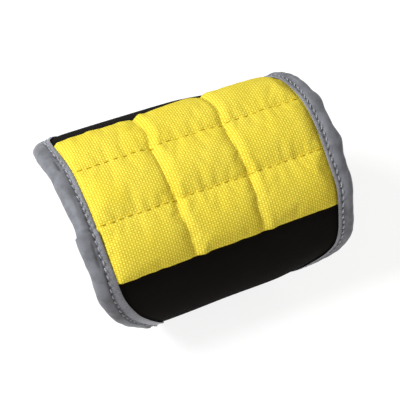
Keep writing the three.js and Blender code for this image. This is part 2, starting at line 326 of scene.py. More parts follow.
def stacked(*values):
    """Values side by side on a new last axis."""
    return np.stack(np.broadcast_arrays(*values), -1)


# Loop path

def arc(radius, start, stop):
    return (radius, start, stop, radius * (stop - start))


def descent(drop, corner_radius):
    """Arcs of one side of the loop, top to ground; the middle radius takes up the height."""
    top_drop = TOP_RADIUS * (1 - math.cos(TOP_ANGLE))
    corner_drop = corner_radius * (1 + math.cos(CORNER_ANGLE))
    side_drop = drop - top_drop - corner_drop
    side_radius = side_drop / (math.cos(TOP_ANGLE) - math.cos(CORNER_ANGLE))
    return [
        arc(TOP_RADIUS, 0, TOP_ANGLE),
        arc(side_radius, TOP_ANGLE, CORNER_ANGLE),
        arc(corner_radius, CORNER_ANGLE, math.pi),
    ]


def reach(runs):
    return sum(radius * (math.sin(stop) - math.sin(start)) for radius, start, stop, _ in runs)


def length_of(runs):
    return sum(run[3] for run in runs)


def widest_reach(runs):
    return TOP_RADIUS * math.sin(TOP_ANGLE) + runs[1][0] * (1 - math.sin(TOP_ANGLE))


rear_descent = descent(LOOP_HEIGHT, REAR_CORNER_RADIUS)
front_descent = descent(LOOP_HEIGHT - CLOSURE_T, FRONT_CORNER_RADIUS)
FLAT_LENGTH = reach(rear_descent) + reach(front_descent)
MIDDLE_Y = (widest_reach(rear_descent) - widest_reach(front_descent)) / 2
flat_run = (math.inf, math.pi, math.pi, FLAT_LENGTH)
rear_runs = [*rear_descent, flat_run, arc(FRONT_CORNER_RADIUS + CLOSURE_T, math.pi, 1.5 * math.pi)]
front_runs = [*front_descent, flat_run, arc(REAR_CORNER_RADIUS - CLOSURE_T, math.pi, 1.5 * math.pi)]

PEEL_LINE = -length_of(rear_descent)
REAR_STRAP_LINE = PANEL_REAR - REAR_SHOULDER_LENGTH
FRONT_STRAP_LINE = length_of(front_descent[:2])
FLAT_START = length_of(front_descent)
HOOK_TIP = PEEL_LINE - FLAT_LENGTH - HOOK_TIP_RISE
LOOP_TIP = FLAT_START + FLAT_LENGTH + LOOP_TIP_RISE


def walk(distance, runs, side):
    """Points and turns at distances from the top, down one side of the loop."""
    y = np.full(distance.shape, -MIDDLE_Y)
    z = np.full(distance.shape, STANDOFF + LOOP_HEIGHT)
    turn = np.zeros(distance.shape)
    left = distance
    for radius, start, _, length in runs:
        step = np.clip(left, 0, length)
        angle = start + step / radius
        if math.isinf(radius):
            y = y + side * math.cos(start) * step
        else:
            y = y + side * radius * (np.sin(angle) - math.sin(start))
            z = z + radius * (np.cos(angle) - math.cos(start))
        turn = np.where(left > 0, angle, turn)
        left = left - length
    return y, z, turn


def swell(x, s):
    """How far the soft band stands out from its even loop, or sinks in."""
    return sum(bump(s, *hump) * smooth((side * x - begin) / (full - begin))
               for side, begin, full, *hump in SLACK)


def place(x, s, height):
    """Points in metres of places on the band."""
    x, s, height = np.broadcast_arrays(*(np.asarray(value, float) for value in (x, s, height)))
    height = height + swell(x, s)
    front = walk(np.maximum(s, 0), front_runs, -1)
    rear = walk(np.maximum(-s, 0), rear_runs, 1)
    y, z, turn = (np.where(s >= 0, a, b) for a, b in zip(front, rear))
    side = np.where(s >= 0, -1, 1)
    return stacked(x, y + side * np.sin(turn) * height, z + np.cos(turn) * height) * MM


# Outline: the flat pattern, with the slack of a worn band at its edges

def taper(s):
    u = np.clip(np.abs(s - PANEL_MIDDLE) - TAPER_START, 0, TAPER_LENGTH)
    total = (BAND_WIDTH - STRAP_WIDTH) / 2
    slope = 2 * total / TAPER_LENGTH
    out = slope * u**2 / (2 * TAPER_TURN)
    back = total - slope * (TAPER_LENGTH - u) ** 2 / (2 * (TAPER_LENGTH - TAPER_TURN))
    return np.where(u < TAPER_TURN, out, back)


def drift(s, side, drifts):
    return sum(bump(s, *hump) * (way * side > 0) for way, *hump in drifts)


def edge(s, side, inset=0.0):
    """Distance of one edge of the band from its middle line, less an inset; round at the tips."""
    s = np.asarray(s, float)
    plain = BAND_WIDTH / 2 - taper(s) + drift(s, side, EDGE_DRIFTS)
    into_tip = TIP_RADIUS - np.where(s > 0, LOOP_TIP - s, s - HOOK_TIP)
    radius = TIP_RADIUS - inset
    rounded = plain - TIP_RADIUS + np.sqrt(np.maximum(radius**2 - into_tip**2, 0))
    return np.where(into_tip > 0, rounded, plain - inset)


def on_left(side):
    """True on the left edge, false on the right one and round the tips."""
    return side < -0.9


def left_bump(s, side, *hump):
    return bump(s, *hump) * on_left(side)


def tape_outside(s):
    past = np.maximum(PANEL_REAR - s, s - PANEL_FRONT)
    return STANDOFF + (FIT + FACE_T) * (1 - smooth(past / TAPE_EASE))


def tape_stretch(s):
    slope = (taper(s + FIT) - taper(s - FIT)) / (2 * FIT)
    return np.hypot(1, slope)


# Pieces are cut midway between the bends, so that each one crosses a single bend.
BODIES = ("hook_tail", "rear_strap", "rear_shoulder", "rear_row",
          "middle_row", "front_row", "front_shoulder", "loop_tail")
BEND_NAMES = ("closure", "rear_strap", "rear_shoulder", "rear_panel",
              "front_panel", "front_shoulder", "inner_tail")
BENDS = (PEEL_LINE, REAR_STRAP_LINE, PANEL_REAR, 0.0, ROW, PANEL_FRONT, FRONT_STRAP_LINE)
CUTS = (HOOK_TIP, *((a + b) / 2 for a, b in zip(BENDS, BENDS[1:])), LOOP_TIP)
LAST = len(BENDS) - 1


def tip_ends(k):
    return (CUTS[1], HOOK_TIP) if k == 0 else (CUTS[LAST], LOOP_TIP)


def tip_rounding(base, tip):
    """Sign of the way to a tip, and the place where it begins to round."""
    toward = np.sign(tip - base)
    return toward, tip - toward * TIP_RADIUS


def tip_stations(base, tip, step, inset, count):
    """Rising places between a base and a tip, closer together round the tip."""
    toward, rounding = tip_rounding(base, tip)
    angles = np.linspace(0, math.pi / 2, count)
    run = np.concatenate([evenly(base, rounding, step)[:-1],
                          rounding + toward * (TIP_RADIUS - inset) * np.sin(angles)])
    return run[::int(toward)]


def stations(k, step):
    if k in (0, LAST):
        return tip_stations(*tip_ends(k), step, EDGE_INSET, count=16)
    return evenly(CUTS[k], CUTS[k + 1], step)


# Meshes

def grid_quads(rows, columns):
    at = np.arange(rows * columns).reshape(rows, columns)
    return stacked(at[:-1, :-1], at[1:, :-1], at[1:, 1:], at[:-1, 1:]).reshape(-1, 4)


def slab(x, s, top, bottom):
    """Closed sheet on a grid of places between two heights: points, quads and flat coordinates."""
    rows, columns = x.shape
    points = np.concatenate([place(x, s, top).reshape(-1, 3), place(x, s, bottom).reshape(-1, 3)])
    flat = stacked(x, s, top).reshape(-1, 3)
    count = rows * columns
    at = np.arange(count).reshape(rows, columns)
    rim = np.concatenate([at[:, 0], at[-1, 1:], at[-2::-1, -1], at[0, -2::-1]])
    wall = stacked(rim[:-1], rim[:-1] + count, rim[1:] + count, rim[1:])
    upper = grid_quads(rows, columns)
    quads = np.concatenate([upper, upper[:, ::-1] + count, wall])
    return points, quads.tolist(), np.concatenate([flat, flat])


def tubes(rings, flat):
    """Closed tubes from rings of points (tubes, stations, points round, 3)."""
    many, count, around = rings.shape[:3]
    at = np.arange(many * count * around).reshape(many, count, around)
    turned = np.roll(at, -1, axis=2)
    quads = stacked(at[:, :-1], turned[:, :-1], turned[:, 1:], at[:, 1:]).reshape(-1, 4)
    caps = np.concatenate([at[:, 0, ::-1], at[:, -1]])
    return rings.reshape(-1, 3), quads.tolist() + caps.tolist(), flat.reshape(-1, 3)


def join(parts):
    points = np.concatenate([part[0] for part in parts])
    flat = np.concatenate([part[2] for part in parts])
    starts = np.cumsum([0] + [len(part[0]) for part in parts])
    faces = [[index + start for index in face] for part, start in zip(parts, starts) for face in part[1]]
    return points, faces, flat


def add_object(name, data):
    thing = bpy.data.objects.new(name, data)
    scene.collection.objects.link(thing)
    return thing


def make_piece(name, part, material, sharp=50):
    points, faces, flat = part
    mesh = bpy.data.meshes.new(name)
    mesh.from_pydata(points.tolist(), [], faces)
    attribute = mesh.attributes.new("flat", "FLOAT_VECTOR", "POINT")
    attribute.data.foreach_set("vector", flat.astype(np.float32).ravel())
    mesh.shade_smooth()
    mesh.set_sharp_from_angle(angle=math.radians(sharp))
    mesh.materials.append(material)
    return add_object(name, mesh)


def add_bent(name, part, material, nodes=(), sharp=50):
    """Piece in world space that takes the place of solid nodes, which it hides."""
    piece = make_piece(name, part, material, sharp)
    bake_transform(piece)
    if nodes:
        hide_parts(*nodes)
    return piece


# Shader nodes

class Shader:
    """Nodes of a material or a world; inputs are numbers, sockets or colours (red, green, blue)."""

    def __init__(self, name, owners=bpy.data.materials):
        self.owner = owners.new(name)
        self.owner.use_nodes = True
        self.tree = self.owner.node_tree

    def fill(self, node, inputs):
        for key, value in inputs.items():
            socket = node.inputs[key]
            if isinstance(value, bpy.types.NodeSocket):
                self.tree.links.new(value, socket)
            else:
                socket.default_value = (*value, 1.0) if isinstance(value, tuple) else value
        return node

    def node(self, kind, inputs=None, **settings):
        node = self.tree.nodes.new(kind)
        for key, value in settings.items():
            setattr(node, key, value)
        return self.fill(node, inputs or {})

    def math(self, operation, a, b=0.0):
        return self.node("ShaderNodeMath", {0: a, 1: b}, operation=operation).outputs[0]

    def times(self, a, b):
        return self.math("MULTIPLY", a, b)

    def wave(self, value, period, operation="SINE"):
        return self.math(operation, self.times(value, 2 * math.pi / period))

    def flat(self):
        """The place on the flat pattern, in millimetres: x, s and a third coordinate."""
        return self.node("ShaderNodeAttribute", attribute_name="flat").outputs["Vector"]

    def split(self):
        return self.node("ShaderNodeSeparateXYZ", {0: self.flat()}).outputs

    def cloud(self, scale, detail=3.0, rough=0.55, vector=None):
        inputs = {"Vector": vector or self.flat(), "Scale": scale, "Detail": detail, "Roughness": rough}
        return self.node("ShaderNodeTexNoise", inputs).outputs["Fac"]

    def ramp(self, value, low, high, to_low=0.0, to_high=1.0):
        inputs = {0: value, 1: low, 2: high, 3: to_low, 4: to_high}
        return self.node("ShaderNodeMapRange", inputs).outputs[0]

    def mix(self, share, a, b):
        return self.node("ShaderNodeMix", {0: share, 6: a, 7: b}, data_type="RGBA").outputs[2]

    def relief(self, height, depth, before=None):
        """Bump of a height field; depth is in millimetres."""
        inputs = {"Height": height, "Distance": depth * MM, "Strength": 1.0}
        if before is not None:
            inputs["Normal"] = before
        return self.node("ShaderNodeBump", inputs).outputs[0]

    def finish(self, tint, rough, bumped, specular=0.5, **inputs):
        surface = {key.replace("_", " "): value for key, value in inputs.items()}
        surface |= {"Base Color": tint, "Roughness": rough, "Normal": bumped, "Specular IOR Level": specular}
        self.fill(self.tree.nodes["Principled BSDF"], surface)
        return self.owner


def plain_weave(mat, warp_pitch, weft_pitch, wander, weft_share):
    """Height of a plain weave, 0 in the gaps to 1 on the floats."""
    x, s, _ = mat.split()
    offset = mat.times(mat.math("SUBTRACT", mat.cloud(0.9, 2.0), 0.5), wander)
    warp = mat.wave(mat.math("ADD", x, offset), 2 * warp_pitch)
    weft = mat.wave(mat.math("ADD", s, offset), 2 * weft_pitch)
    columns = mat.math("POWER", mat.math("ABSOLUTE", warp), 0.48)
    rows = mat.math("POWER", mat.math("ABSOLUTE", weft), 0.38)
    warp_share = mat.ramp(mat.times(warp, weft), -0.2, 0.2, weft_share, 1.0)
    return mat.times(mat.times(columns, rows), warp_share)


def yellow_weave():
    mat = Shader("yellow_weave")
    height = plain_weave(mat, warp_pitch=0.88, weft_pitch=0.68, wander=0.3, weft_share=0.63)
    patches = mat.cloud(0.08, 4.0)
    slubs = mat.cloud(1.6, 2.0)
    # The floats take the light tones and the gaps between them the darker ones: partly the yarn's own tone,
    # partly painted shade between the yarns.
    light = mat.mix(patches, (0.84, 0.745, 0.075), (0.88, 0.82, 0.14))
    gap_tone_and_shade = mat.mix(slubs, (0.48, 0.285, 0.002), (0.67, 0.45, 0.005))
    tint = mat.mix(mat.ramp(height, 0.12, 0.88), gap_tone_and_shade, light)
    rough = mat.ramp(height, 0, 1, 0.95, 0.8)
    return mat.finish(tint, rough, mat.relief(height, 0.14), specular=0.03)


def black_cloth():
    mat = Shader("black_cloth")
    height = plain_weave(mat, warp_pitch=0.32, weft_pitch=0.32, wander=0.2, weft_share=0.62)
    mottled = mat.cloud(0.05, 5.0, 0.65)
    lint = mat.ramp(mat.cloud(2.2, 2.0), 0.70, 0.8, 0.0, 0.3)
    base = mat.mix(mottled, (0.0034, 0.003, 0.0028), (0.008, 0.007, 0.006))
    tint = mat.mix(lint, base, (0.024, 0.021, 0.018))
    return mat.finish(tint, 0.85, mat.relief(height, 0.06), specular=0.03)


def spacer_mesh():
    mat = Shader("spacer_mesh")
    x, s, _ = mat.split()
    pitch = 2.6
    cell = mat.times(mat.wave(x, pitch), mat.wave(s, pitch * math.sqrt(3)))
    # The holes of the mesh are painted near black: painted shade in the holes.
    solid = mat.ramp(mat.math("ABSOLUTE", cell), 0.45, 0.85, 1.0, 0.0)
    fibre = mat.ramp(mat.cloud(3.0, 3.0), 0.2, 0.8, 0.6, 1.0)
    rib = mat.times(solid, fibre)
    tint = mat.mix(rib, (0.004, 0.004, 0.0045), (0.026, 0.026, 0.028))
    return mat.finish(tint, 0.9, mat.relief(rib, 0.5), specular=0.25)


def satin_tape():
    """Satin tape with needle holes: the flat coordinates are stitches, run and depth in from the fold."""
    mat = Shader("satin_tape")
    stitches, run, depth = mat.split()
    flat = mat.node("ShaderNodeCombineXYZ", {1: run, 2: depth}).outputs[0]
    leg_depth = mat.math("MODULO", depth, LEG_OFFSET)
    weave = mat.times(mat.wave(run, 0.55), mat.wave(depth, 0.4))
    # Darker blotches at random: partly the tape's own uneven tone, partly painted shade of small folds.
    blotches = mat.cloud(0.22, 4.0, vector=flat)
    grain = mat.cloud(5.0, 2.0, vector=flat)
    even_tone = mat.mix(grain, (0.124, 0.126, 0.144), (0.196, 0.199, 0.225))
    mottled = mat.mix(mat.ramp(blotches, 0.42, 0.68, 0.0, 0.62), even_tone, (0.068, 0.068, 0.073))
    on_lip = mat.ramp(leg_depth, SEAM_DEPTH - 0.4, SEAM_DEPTH + 0.6)
    # Pale lint specks on the lip. Past the front corner, where the tape turns under, the lip gets more of
    # the pale colour: partly lint, partly painted light on a lip the lamps light too dimly.
    turned_under = mat.ramp(run, GATHER_S - 2 * GATHER_HALF, GATHER_S - GATHER_HALF)
    specks = mat.ramp(mat.cloud(2.4, 4.0, 0.7, flat), 0.42, 0.7, 0.0, 0.75)
    lint = mat.math("MAXIMUM", specks, mat.times(turned_under, 0.45))
    dusty_and_lit = mat.mix(mat.times(on_lip, lint), mottled, (0.38, 0.385, 0.42))
    # Needle holes along the seam are painted near black: painted shade in the holes, fainter where the tape
    # turns under.
    by_hole = mat.ramp(mat.wave(stitches, 1, "COSINE"), 0.3, 0.85)
    off_line = mat.math("ABSOLUTE", mat.math("SUBTRACT", leg_depth, SEAM_DEPTH))
    on_line = mat.ramp(off_line, 0.2, 0.5, 0.8, 0.0)
    open_share = mat.ramp(turned_under, 0, 1, 1.0, 0.25)
    hole_shade = mat.times(by_hole, mat.times(on_line, open_share))
    tint = mat.mix(hole_shade, dusty_and_lit, (0.03, 0.03, 0.034))
    rough = mat.ramp(blotches, 0.3, 0.8, 0.34, 0.52)
    bumped = mat.relief(weave, 0.03, mat.relief(grain, 0.05))
    return mat.finish(tint, rough, bumped, specular=0.3)


def thread(name, low, high):
    """Twisted sewing thread: the third flat coordinate runs round it, the second along it."""
    mat = Shader(name)
    _, along, around = mat.split()
    twist = mat.math("ADD", mat.times(along, 2 * math.pi / 0.5), around)
    # The grooves between the plies take the low colour: painted shade in the twist.
    ply = mat.ramp(mat.math("SINE", twist), -1, 1)
    fluff = mat.ramp(mat.cloud(6.0, 2.0), 0.2, 0.8, 0.7, 1.0)
    tint = mat.mix(mat.times(ply, fluff), low, high)
    return mat.finish(tint, 0.6, mat.relief(ply, 0.06), specular=0.2)


def hook_plastic():
    mat = Shader("hook_plastic")
    grain = mat.cloud(2.5, 3.0)
    tint = mat.mix(grain, (0.008, 0.008, 0.009), (0.018, 0.018, 0.02))
    rough = mat.ramp(grain, 0.3, 0.7, 0.35, 0.55)
    return mat.finish(tint, rough, mat.relief(grain, 0.05))


def loop_pile():
    mat = Shader("loop_pile")
    curl = mat.cloud(1.8, 5.0, 0.7)
    clump = mat.cloud(0.35, 3.0)
    # Where the pile's curl is low it is also darker: painted shade in the pile's hollows.
    tint = mat.mix(curl, (0.006, 0.006, 0.007), (0.035, 0.035, 0.038))
    bumped = mat.relief(curl, 0.5, mat.relief(clump, 0.4))
    return mat.finish(tint, 0.95, bumped, Sheen_Weight=0.3, Sheen_Roughness=0.4)


def pad_foam():
    mat = Shader("pad_foam")
    inputs = {"Vector": mat.flat(), "Scale": 2.2}
    cell = mat.node("ShaderNodeTexVoronoi", inputs).outputs["Distance"]
    # The pores are painted darker towards their middles: painted shade in the pits.
    tint = mat.mix(cell, (0.02, 0.02, 0.022), (0.07, 0.07, 0.075))
    return mat.finish(tint, 0.95, mat.relief(cell, 0.3))


def nickel_plate():
    mat = Shader("nickel_plate")
    spot = mat.node("ShaderNodeTexCoord").outputs["Object"]
    scuff = mat.cloud(900.0, 4.0, 0.6, spot)
    tint = mat.mix(scuff, (0.60, 0.58, 0.54), (0.74, 0.72, 0.68))
    rough = mat.ramp(scuff, 0.3, 0.7, 0.16, 0.34)
    return mat.finish(tint, rough, mat.relief(scuff, 0.01), Metallic=1.0)


YELLOW = yellow_weave()
BLACK = black_cloth()
MESH = spacer_mesh()
TAPE = satin_tape()
GREY_THREAD = thread("grey_thread", (0.18, 0.185, 0.204), (0.46, 0.47, 0.51))
YELLOW_THREAD = thread("yellow_thread", (0.52, 0.345, 0.006), (0.79, 0.61, 0.035))
BLACK_THREAD = thread("black_thread", (0.006, 0.006, 0.006), (0.03, 0.03, 0.03))
HOOK = hook_plastic()
LOOP = loop_pile()
FOAM = pad_foam()
NICKEL = nickel_plate()


# Black shell and mesh lining

def across(s, inset, share):
    """Grid of places at shares of the way from the left edge to the right one."""
    left = -edge(s, -1, inset)[:, None]
    right = edge(s, 1, inset)[:, None]
    return left + (right - left) * share, s[:, None] + 0 * share


def shell_heights(x, s, k):
    """Outer and inner side of the shell: even under the face, a little uneven elsewhere."""
    sag = uneven(SHELL_SAG, x, s) * bump(s, BENDS[k], SHELL_SAG_REACH)
    top = np.where((s > PANEL_REAR) & (s < PANEL_FRONT), 0, sag - SHELL_SAG[0])
    return top, top * 0 - SHELL_T


def lining_height(x, s):
    """Inner side of the lining: pressed in at the sewn lines, a little uneven elsewhere."""
    seams = (PANEL_REAR, 0.0, ROW, PANEL_FRONT)
    pressed = sum(bell(s, seam, *LINING_PRESS) for seam in seams)
    return -STRAP_T + pressed + uneven(LINING_SAG, x, s)


def lining_heights(x, s, k):
    inner = lining_height(x, s)
    return inner * 0 - SHELL_T - FIT, inner


def build_layer(k, name, heights, material, step, columns):
    """Piece k of the shell or the lining; the last one stands for two bodies' solids."""
    x, s = across(stations(k, step), EDGE_INSET, np.linspace(0, 1, columns))
    bodies = BODIES[k:] if k == LAST else BODIES[k:k + 1]
    nodes = [f"{body}_{name}" for body in bodies]
    part = slab(x, s, *heights(x, s, k))
    piece = add_bent(f"{name}_{BEND_NAMES[k]}", part, material, nodes)


# Yellow face, sewn down in three rows

def leftward(x, rise, start, reach_x):
    return rise * smooth((start - x) / reach_x)


def column_share(x, values):
    """Value of the pocket at x, eased from one pocket to the next."""
    left, centre, right = values
    to_right = smooth((x + CREASE_X) / POCKET_EASE + 0.5)
    beyond = smooth((x - CREASE_X) / POCKET_EASE + 0.5)
    return left + (centre - left) * to_right + (right - centre) * beyond


def crease(x, s, t, side):
    """Depth of the crease on one side: a sharp fold and a ridge, deepest by the sewn lines."""
    off = x - side * CREASE_X - uneven(CREASE_WANDER, s, side)
    end = np.abs(2 * t - 1) ** CREASE_END_POWER
    fold = np.exp(-np.abs(off) / CREASE_HALF) * rising(CREASE_MIDDLE, end)
    ridge = bell(off, 2 * CREASE_HALF, CREASE_HALF) * rising(RIDGE_MIDDLE, end)
    return CREASE_DEPTH * fold - RIDGE_RISE * ridge


def rear_hem(x):
    """The panel's rear hem runs a little askew."""
    return PANEL_REAR + leftward(x, *HEM_SLANT)


def row_share(x, s):
    """Row of magnets at a place (-1, 0 or 1) and the share of the way across it."""
    row = np.clip(np.floor(s / ROW), -1, 1)
    start = np.where(row < 0, rear_hem(x), row * ROW)
    stop = (row + 1) * ROW
    return row, np.clip((s - start) / (stop - start), 0, 1)


def inside_lip(x, s):
    """Distance in from the tape's lip."""
    from_edge = np.where(x < 0, edge(s, -1), edge(s, 1)) - np.abs(x)
    return from_edge - TAPE_WIDTH * tape_stretch(s) - CORNER_LIP * left_bump(s, np.sign(x), *CORNER)


def face_height(x, s):
    """Height of the yellow cloth's upper side: crowned pockets, creases, puckers and hems."""
    row, t = row_share(x, s)
    from_seam = np.minimum(t, 1 - t) * ROW
    along = np.sin(math.pi * t) ** CROWN_POWER
    lip = inside_lip(x, s)
    side = np.sin(math.pi / 2 * np.clip(lip / SIDE_RAMP, 0, 1))
    puff = sum(column_share(x, PUFF[i]) * (row == i - 1) for i in range(3))
    sewn = SEWN_HEIGHT + leftward(x, *SEWN_EASE)
    crown = (SEWN_HEIGHT + CROWN * puff - sewn) * along * side
    creases = sum(crease(x, s, t, way) for way in (-1, 1)) * side * np.minimum(1, CREASE_SEAM + along)
    pucker = uneven(PUCKER, x, s) * np.exp(-from_seam / PUCKER_REACH)
    ripple = uneven(RIPPLE, x + RIPPLE_SLOPE * s, s) + uneven(CRINKLE, x, s)
    soft = (pucker + ripple * along) * rising(SIDE_UNEVEN, side)
    base = TUCKED_HEIGHT + (sewn - TUCKED_HEIGHT) * smooth((lip + TUCK_START) / TUCK_REACH)
    height = np.maximum(base + crown - creases + soft, TUCKED_HEIGHT)
    to_hem = np.clip(np.minimum(s - rear_hem(x), PANEL_FRONT - s) / HEM_ROUND, 0, 1)
    return height * np.sqrt(np.maximum(1 - (1 - to_hem) ** 2, HEM_EDGE))


def face_grid(along, share):
    """Grid of places on the face; the rows next to the rear hem follow its slant."""
    x, s = across(along, FACE_INSET, share)
    fade = np.clip((CUTS[3] - s) / (CUTS[3] - PANEL_REAR), 0, 1)
    return x, s + (rear_hem(x) - PANEL_REAR) * fade


def hold(x, s):
    """How firmly the face is held: fully by seams, hems and tape, loosely along the creases."""
    _, t = row_share(x, s)
    sewn = np.minimum(t, 1 - t) * ROW < SEAM_HOLD_HALF
    taped = inside_lip(x, s) < LIP_HOLD
    creased = CREASE_HOLD * bell(np.abs(x), CREASE_X, CLOTH_STEP)
    return np.where(sewn | taped, 1.0, creased)


def add_cloth(piece):
    """Weightless cloth, a little too long for its seams and pushed outward by the pads."""
    cloth = piece.modifiers.new("cloth", "CLOTH")
    cloth.settings.quality = 8
    cloth.settings.bending_stiffness = 0.25
    cloth.settings.air_damping = 2
    cloth.settings.vertex_group_mass = "held"
    cloth.settings.use_pressure = True
    cloth.settings.uniform_pressure_force = CLOTH_PRESSURE
    cloth.settings.shrink_min = -CLOTH_SLACK
    cloth.settings.effector_weights.gravity = 0
    cloth.collision_settings.use_collision = False
    cloth.point_cache.frame_end = CLOTH_FRAMES


def settle_face(along, share):
    """Moves of the face's points as its cloth settles, on the flat pattern at a larger scale."""
    x, s = face_grid(along, share)
    start = stacked(x, s, face_height(x, s))
    points = (start * CLOTH_SCALE).reshape(-1, 3)
    mesh = bpy.data.meshes.new("settling")
    mesh.from_pydata(points.tolist(), [], grid_quads(*x.shape)[:, ::-1].tolist())
    piece = add_object("settling", mesh)
    held = piece.vertex_groups.new(name="held")
    for index, weight in enumerate(hold(x, s).ravel().tolist()):
        held.add([index], weight, "REPLACE")
    add_cloth(piece)
    for step in range(1, CLOTH_FRAMES + 1):
        scene.frame_set(step)
    settled = np.empty(start.size)
    piece.evaluated_get(bpy.context.evaluated_depsgraph_get()).data.vertices.foreach_get("co", settled)
    bpy.data.objects.remove(piece)
    bpy.data.meshes.remove(mesh)
    scene.frame_set(1)
    return np.clip(settled.reshape(start.shape) / CLOTH_SCALE - start, -CLOTH_REACH, CLOTH_REACH)


CLOTH_ALONG = evenly(PANEL_REAR, PANEL_FRONT, CLOTH_STEP)
CLOTH_SHARE = np.linspace(0, 1, CLOTH_COLUMNS)
SETTLED = settle_face(CLOTH_ALONG, CLOTH_SHARE)


def between(values, marks):
    """Weights that take evenly spaced marks to values between them."""
    return np.clip(1 - np.abs(values[:, None] - marks[None, :]) / (marks[1] - marks[0]), 0, 1)


def build_face(k):
    along = evenly(max(CUTS[k], PANEL_REAR), min(CUTS[k + 1], PANEL_FRONT), FACE_STEP)
    share = np.linspace(0, 1, FACE_COLUMNS)
    x, s = face_grid(along, share)
    moves = np.einsum("ai,ijc,bj->cab", between(along, CLOTH_ALONG), SETTLED, between(share, CLOTH_SHARE))
    top = face_height(x, s) + moves[2]
    bottom = np.minimum(np.maximum(top - FACE_T, FACE_LOWEST), top - FACE_LEAST_T)
    part = slab(x + moves[0], s + moves[1], top, bottom)
    body = BODIES[k + 1]
    nodes = [f"{body}_face"] if body.endswith("row") else []
    piece = add_bent(f"face_{BEND_NAMES[k]}", part, YELLOW, nodes)


# Foam pads under the face, with a bore for each magnet

def build_pad(row_index, body):
    start = row_index * ROW
    s_line = evenly(start + PAD_SEAM_GAP, start + ROW - PAD_SEAM_GAP, PAD_STEP)
    side = min(float(edge(np.array(start), way)) for way in (-1, 1)) - TAPE_WIDTH - PAD_SIDE_GAP
    x, s = np.meshgrid(evenly(-side, side, PAD_STEP), s_line)
    top = np.maximum(face_height(x, s) - FACE_T - PAD_CLEARANCE, FIT + PAD_LEAST_T)
    pad = make_piece(f"{body}_foam", slab(x, s, top, top * 0 + FIT), FOAM)
    middle = start + ROW / 2
    for column in (-1, 0, 1):
        cut_bore(pad, Vector(place(column * COLUMN_PITCH, middle, 0)), middle)
    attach(pad, body)
    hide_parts(f"{body}_pad")


def cut_bore(pad, centre, s):
    normal = Vector(place(0, s, 1)) - Vector(place(0, s, 0))
    radius = MAGNET_D / 2 + FIT
    bpy.ops.mesh.primitive_cylinder_add(vertices=48, radius=radius * MM, depth=ROW * MM)
    cutter = bpy.context.object
    cutter.matrix_world = Matrix.Translation(centre) @ normal.to_track_quat("Z", "Y").to_matrix().to_4x4()
    cut = pad.modifiers.new("bore", "BOOLEAN")
    cut.object = cutter
    cut.operation = "DIFFERENCE"
    bpy.context.view_layer.objects.active = pad
    bpy.ops.object.modifier_apply(modifier=cut.name)
    bpy.data.objects.remove(cutter)


# Grey binding tape, folded over the edge

LEG = np.append([TAPE_WIDTH, TAPE_WIDTH - LIP_EDGE],
                np.linspace(TAPE_WIDTH - 4 * LIP_EDGE, FOLD_DEPTH, LEG_STATIONS))
FOLD_ANGLES = np.linspace(math.pi / 2, -math.pi / 2, FOLD_STATIONS)[1:-1]


def with_stitches(line):
    """Adds a row that counts whole stitches along a line of stations."""
    length = lengths(*line[:2])
    return np.vstack([line, length / length[-1] * round(length[-1] / SEAM_PITCH)])


def edge_stations(s, side):
    """Stations of the tape down one edge: x, s, inward direction in x and s, run and side."""
    zero = np.zeros(s.shape)
    return np.stack([edge(s, side) * side, s, zero - side, zero, s, zero + side])


def half_tip(k, side):
    """Stations of the tape down one edge and round the corner to the middle of the tip."""
    base, tip = tip_ends(k)
    toward, rounding = tip_rounding(base, tip)
    straight = edge_stations(evenly(base, rounding, TAPE_STEP)[:-1], side)
    centre_x = float(edge(np.array(rounding), side)) - TIP_RADIUS
    angle = evenly(0, math.pi / 2, TAPE_STEP / TIP_RADIUS)[:-1]
    round_corner = np.stack([
        side * (centre_x + TIP_RADIUS * np.cos(angle)), rounding + toward * TIP_RADIUS * np.sin(angle),
        -side * np.cos(angle), -toward * np.sin(angle),
        rounding + toward * TIP_RADIUS * angle, side * (0.5 + 0.5 * np.cos(angle)),
    ])
    x = evenly(centre_x, 0, TAPE_STEP)
    run = rounding + toward * (TIP_RADIUS * math.pi / 2 + centre_x - x)
    end = np.stack([side * x, 0 * x + tip, 0 * x, 0 * x - toward, run, side * 0.5 * x / centre_x])
    return np.concatenate([straight, round_corner, end], 1)


def tape_run(k, side):
    return with_stitches(edge_stations(evenly(CUTS[k], CUTS[k + 1], TAPE_STEP), side))


def tip_run(k):
    return with_stitches(np.concatenate([half_tip(k, 1), half_tip(k, -1)[:, -2::-1]], 1))


def tape_uneven(field, run, side, depth=0.0):
    """Unevenness that changes over from the left edge's to the right edge's round a tip."""
    right = (1 + side) / 2
    *shape, seed = field
    return uneven(field, run, depth) * (1 - right) + uneven((*shape, seed + 1), run, depth) * right


def play(run):
    """Share of its unevenness that the tape keeps: little where it lies on the ground."""
    return rising(GROUND_PLAY, smooth((run - PEEL_LINE - GROUND_CLEAR) / GROUND_EASE))


def splice(run, side):
    """Share of the lapped tape end: full at the splice, fading along the left edge."""
    past = run - SPLICE_S
    return smooth(past / SPLICE_STEP + 0.5) * (1 - smooth(past / SPLICE_LENGTH)) * on_left(side)


